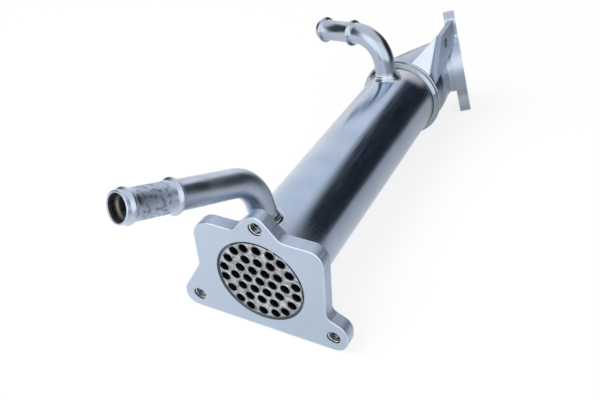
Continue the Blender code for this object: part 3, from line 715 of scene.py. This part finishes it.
def plate(corners, thickness, matrix):
    """A flat plate from its corners, each (x, y, radius) in millimetres."""
    bm = bmesh.new()
    verts = [bm.verts.new((x * MM, y * MM, -thickness / 2)) for x, y, _ in corners]
    bm.faces.new(verts)
    for vert, (_, _, radius) in zip(verts, corners):
        first, second = (edge.other_vert(vert).co - vert.co for edge in vert.link_edges)
        turn = math.pi - first.angle(second)
        bmesh.ops.bevel(bm, geom=[vert], offset=radius * MM * math.tan(turn / 2),
                        offset_type="OFFSET", segments=14, profile=0.5,
                        affect="VERTICES", material=-1)
    side = bmesh.ops.extrude_face_region(bm, geom=bm.faces[:])
    moved = [item for item in side["geom"] if isinstance(item, bmesh.types.BMVert)]
    bmesh.ops.translate(bm, verts=moved, vec=(0, 0, thickness))
    bmesh.ops.transform(bm, matrix=matrix, verts=bm.verts)
    return bm


def broken_edges(piece, width, segments=3, look=-1):
    """Rounds a piece's sharp edges, and keeps its flat faces flat in the light."""
    bevel = piece.modifiers.new("Broken edges", "BEVEL")
    bevel.material = look
    bevel.width = width
    bevel.segments = segments
    bevel.limit_method = "ANGLE"
    bevel.angle_limit = math.radians(38)
    bevel.harden_normals = False
    flat_faces(piece)


def flat_faces(piece):
    """Weights a piece's normals by area, so that its large faces shade flat."""
    flat = piece.modifiers.new("Flat faces", "WEIGHTED_NORMAL")
    flat.keep_sharp = False


def threaded_hole(name, spot, thickness):
    """Cutter of an M8 hole out to the thread's root, with a chamfered mouth in front."""
    face = thickness / 2
    root = 4.0 * MM
    wide = 4.2 * MM
    profile = [(0, face * 2), (wide + face, face * 2), (wide, face),
               (root - 0.1 * MM, face - 0.5 * MM), (root, face - 0.6 * MM),
               (root, -face * 2), (0, -face * 2)]
    return finished(name, turned(profile, 64, spot))


def thread(name, spot):
    """The thread's ridge: one tooth, spun up the hole as a helix."""
    pitch = 1.25 * MM
    turns = 5
    per_turn = 48
    start = -pitch * turns / 2 - 0.3 * MM
    bm = bmesh.new()
    tooth = [(4.05, -0.31), (3.42, -0.07), (3.42, 0.07), (4.05, 0.31)]
    verts = [bm.verts.new((r * MM, 0, start + h * MM)) for r, h in tooth]
    edges = [bm.edges.new((verts[i - 1], verts[i])) for i in range(4)]
    bmesh.ops.spin(bm, geom=verts + edges, cent=(0, 0, 0), axis=(0, 0, 1),
                   dvec=(0, 0, pitch / per_turn), angle=math.tau * turns,
                   steps=per_turn * turns, use_merge=False)
    bmesh.ops.holes_fill(bm, edges=[edge for edge in bm.edges if edge.is_boundary])
    bmesh.ops.transform(bm, matrix=spot, verts=bm.verts)
    ridge = finished(name, bm, 40)
    ridge.data.materials.append(thread_steel)
    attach(ridge, "root")


plate_steel = steel("plate_steel", (0.45, 0.545, 0.665), 0.38, (900, 900, 900), 0.10, 25, 0.05)
thread_steel = steel(
    "thread_steel", (0.56, 0.60, 0.64), 0.16, (400, 400, 400), 0.05, 450, 0.85)
# Painted shade inside the threaded holes.
hole_shade = steel("hole_shade", (0.02, 0.022, 0.026), 0.5)


def darken_holes(piece, spots):
    """Paints shade on the walls of a plate's threaded holes: they are coloured dark."""
    for face in piece.data.polygons:
        for spot in spots:
            local = spot.inverted() @ face.center
            if local.xy.length < 4.02 * MM and abs(local.z) < 3.9 * MM:
                face.material_index = holes_shade_look


flange = finished("inlet_flange_plate", plate(inlet_corners, flange_thickness, standing))
inlet_bolts = [("top", 1.0, 35.0), ("left", -41.0, -24.0), ("right", 41.0, -24.0)]
spots = [standing @ Matrix.Translation((x * MM, z * MM, 0)) for _, x, z in inlet_bolts]
for look in (plate_steel, hole_shade,
             steel("sawn_steel", (0.42, 0.515, 0.66), 0.50, (1500, 40, 1500), 0.35, 60, 0.12),
             # Painted highlight: the broken edges are a paler, glossier steel.
             steel("edge_highlight_steel", (0.60, 0.68, 0.80), 0.30, (900, 900, 900), 0.10, 60, 0.1),
             groove_shade):
    flange.data.materials.append(look)
for face in flange.data.polygons:
    if abs(face.normal.y) < 0.5:
        face.material_index = sides_look
broken_edges(flange, 0.5 * MM, look=edge_highlight_look)
shaped(flange, [finished("bore", solid_cylinder(
    shell_radius + bore_gap, -flange_thickness, flange_thickness, 160, standing))]
    + [threaded_hole("hole", spot, flange_thickness) for spot in spots])
darken_holes(flange, spots)
# Painted shade on the flange's bore wall.
for face in flange.data.polygons:
    outward = (face.center - gas_axis.translation).xz.length
    if abs(face.normal.y) < 0.5 and outward < shell_radius + MM:
        face.material_index = bore_shade_look
flat_faces(flange)
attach(flange, "root")
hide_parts("inlet_flange")
for (side, _, _), spot in zip(inlet_bolts, spots):
    thread(side + "_thread", spot)

# Weld bead behind the flange: one fillet pass round the shell, with a fine scaled ripple.
flange_bead = 2.2 * MM


def rippled(bm, middle_matrix, count, depth, seed):
    """Lays the overlapping scales of a weld pass on a turned bead."""
    back = middle_matrix.inverted()
    bm.normal_update()
    for vert in bm.verts:
        local = back @ vert.co
        angle = math.atan2(local.y, local.x)
        jitter = noise.noise(Vector((math.cos(angle) * 4 + seed, math.sin(angle) * 4, 0)))
        scale = (angle / math.tau * count + jitter * 0.6) % 1.0
        vert.co += vert.normal * depth * (math.sqrt(scale) - 0.6)
    return bm


inner = shell_radius + 0.05 * MM
face = flange_thickness / 2 + 0.02 * MM
profile = [(inner, face), (inner, face + flange_bead), (inner + 0.5 * MM, face + 1.75 * MM),
           (inner + 1.1 * MM, face + 1.1 * MM), (inner + 1.75 * MM, face + 0.5 * MM),
           (inner + flange_bead, face)]
bm = turned(profile, 720, lengthwise)
bead = finished("flange_weld_bead", rippled(bm, lengthwise, 90, 0.12 * MM, 1.3), 60)
bead.data.materials.append(weld_steel)
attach(bead, "root")
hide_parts("flange_weld")

# Rear collar: a rolled lip on the header's end, into which the shell is pushed and
# brazed. Its rolled edge is bright.
collar_front = 202.5 * MM
collar_back = 207.5 * MM
inner = shell_radius + seat_gap
lip = inner + 3.5 * MM
rolled_rim = [
    (0.5, 0.0), (0.12, 0.15), (0.0, 0.5), (0.0, 0.9), (0.15, 1.3), (0.5, 1.45),
    (1.15, 1.5), (1.2, 1.7), (1.0, 2.0), (1.0, 2.5), (1.3, 3.1)]
profile = [(inner, collar_back)]
profile += [(lip - inset * MM, collar_back - ahead * MM) for inset, ahead in rolled_rim]
profile += [(inner + 1.5 * MM, collar_back - 3.8 * MM), (inner + 0.8 * MM, collar_back - 4.5 * MM),
            (inner + 0.5 * MM, collar_front), (inner, collar_front)]
collar = finished("rolled_collar", turned(profile, 256, lengthwise), 50)
collar_steel = steel("collar_steel", (0.36, 0.42, 0.48), 0.2, (300, 300, 300), 0.05, 40, 0.1)
collar.data.materials.append(collar_steel)
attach(collar, "root")
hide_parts("rear_collar")

# Outlet header: pressed sheet that narrows from the collar and turns the gas to the
# right, into the outlet flange.
header_wall = 1.8 * MM
header_start = 207.8 * MM
header_straight = 7.0 * MM
header_wide = 27.7 * MM
header_narrow = 20.3 * MM
outlet_turn = math.radians(20)
outlet_middle = Vector((24.2 * MM, 266.0 * MM, -0.3 * MM))
outlet_way = Vector((math.cos(outlet_turn), math.sin(outlet_turn), 0))
forward = Vector((0, 1, 0))
header_end = outlet_middle - outlet_way * 8.0 * MM


def header_circle(point, way, radius):
    """A frame and a radius of one turned section of the header."""
    side = way.cross(Vector((0, 0, 1))).normalized()
    axes = Matrix((side, way.cross(side), way)).transposed().to_4x4()
    return clocked @ Matrix.Translation(point) @ axes, radius


first = forward * (header_start + header_straight)
header_path = [(forward * header_start, forward, header_wide)]
header_rows = 24
for row in range(header_rows + 1):
    share = row / header_rows
    header_path.append((first.lerp(header_end, share), forward.slerp(outlet_way, share),
                        header_wide + (header_narrow - header_wide) * share))
outer = [header_circle(*step) for step in header_path]
inner_rings = [header_circle(point, way, radius - header_wall)
               for point, way, radius in reversed(header_path)]
header = finished("pressed_header", ringed(outer + inner_rings, 128), 50)
header_steel = steel("header_steel", (0.29, 0.375, 0.51), 0.29, (120, 120, 120), 0.02, 30, 0.1)
header.data.materials.append(header_steel)
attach(header, "root")
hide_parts("outlet_header")

# Outlet flange: a turned disc with a raised inner hub and two ears, each with an M8
# hole. The disc's edge keeps the fine lines of its turning.
outlet = clocked @ Matrix.Translation(outlet_middle) @ Matrix.Rotation(
    math.radians(90) + outlet_turn, 4, "Z") @ Matrix.Rotation(math.radians(90), 4, "X")
outlet_thickness = 8 * MM
disc_radius = 22.9 * MM
hub_radius = 21.4 * MM
hub_back = -7.7 * MM
outlet_bore = 18.5 * MM
ear_height = 32.5 * MM
ear_half = [(15.5, 15.5, 0.5), (8.0, 23.8, 4.0), (8.0, 40.5, 7.8)]
upper = ear_half + [(-x, y, radius) for x, y, radius in reversed(ear_half)]
ears = upper + [(-x, -y, radius) for x, y, radius in upper]
turned_steel = steel("turned_steel", (0.41, 0.48, 0.59), 0.38, (90, 90, 2500), 0.12, 40, 0.16)
outlet_flange = finished("outlet_flange_plate", plate(ears, outlet_thickness, outlet))
spots = [outlet @ Matrix.Translation((0, height, 0)) for height in (ear_height, -ear_height)]
shaped(outlet_flange, [
    finished("disc", solid_cylinder(disc_radius, -3.95 * MM, 3.97 * MM, 160, outlet)),
    finished("hub", solid_cylinder(hub_radius, hub_back, 3 * MM, 160, outlet))], "UNION")
shaped(outlet_flange, [finished("bore", solid_cylinder(
    outlet_bore, -23 * MM, 23 * MM, 160, outlet))]
    + [threaded_hole("hole", spot, outlet_thickness) for spot in spots])
outlet_flange.data.materials.append(turned_steel)
outlet_flange.data.materials.append(hole_shade)
darken_holes(outlet_flange, spots)
broken_edges(outlet_flange, 0.4 * MM)
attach(outlet_flange, "root")
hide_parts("outlet_flange")
for side, spot in zip(("outlet_top", "outlet_low"), spots):
    thread(side + "_thread", spot)

# Weld bead between the header's end and the outlet flange's hub.
bead_reach = 2.0 * MM
profile = [(header_narrow + out * MM, hub_back - back) for out, back in (
    (0.85, 0.02 * MM), (0.75, 0.6 * MM), (0.5, 1.3 * MM), (0.2, bead_reach),
    (-0.6, bead_reach), (-0.6, 0.02 * MM))]
bm = turned(profile, 640, outlet)
bead = finished("header_weld_bead", rippled(bm, outlet, 80, 0.12 * MM, 5.9), 60)
bead.data.materials.append(weld_steel)
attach(bead, "root")
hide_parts("header_weld")

# Bracket plate and its sloping web: cut from flat steel and tacked to the collar, the
# header and the outlet flange's ear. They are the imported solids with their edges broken,
# and the web is moved up against the plate.
bracket_steel = steel("bracket_steel", (0.44, 0.55, 0.73), 0.40, (900, 900, 900), 0.10, 25, 0.05)
# Darker steel for the plate's cut edges, and painted shade on the web's facet that faces left.
side_and_shade_steel = steel("side_and_shade_steel", (0.25, 0.32, 0.42), 0.42, (900, 900, 900), 0.10, 25, 0.05)
# Painted highlight: the web is the bracket's steel made paler.
web_highlight_steel = steel("web_highlight_steel", (0.78, 0.865, 0.96), 0.36, (600, 600, 600), 0.05, 25, 0.04)
bracket_lean = Matrix.Rotation(math.radians(4), 3, "Y")
bracket_out = clocked.to_3x3() @ bracket_lean @ Vector((1, 0, 0))
cut_plates = []
for node in ("bracket_plate", "bracket_web"):
    bm = bmesh.new()
    bm.from_mesh(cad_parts[node].data)
    bmesh.ops.remove_doubles(bm, verts=bm.verts, dist=2 * merge_reach)
    bmesh.ops.dissolve_limit(bm, angle_limit=math.radians(1), verts=bm.verts, edges=bm.edges)
    cut_plates.append(bm)
plate_back = min(vert.co.dot(bracket_out) for vert in cut_plates[0].verts)
web_side = max(vert.co.dot(bracket_out) for vert in cut_plates[1].verts)
for vert in cut_plates[1].verts:
    if vert.co.dot(bracket_out) > web_side - 0.1 * MM:
        vert.co += bracket_out * (plate_back - web_side - 0.02 * MM)
for bm, node, looks in ((cut_plates[0], "bracket_plate", (bracket_steel, side_and_shade_steel)),
                        (cut_plates[1], "bracket_web", (web_highlight_steel, side_and_shade_steel))):
    cut_plate = finished(node + "_cut", bm)
    for look in looks:
        cut_plate.data.materials.append(look)
    for face in cut_plate.data.polygons:
        if node == "bracket_plate":
            face.material_index = 0 if abs(face.normal.dot(bracket_out)) > 0.7 else 1
        else:
            # The web's facet that faces left takes the darker steel as painted shade.
            face.material_index = 1 if face.normal.x < -0.2 else 0
    broken_edges(cut_plate, 0.2 * MM, 2)
    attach(cut_plate, "root")
    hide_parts(node)

bpy.context.view_layer.update()
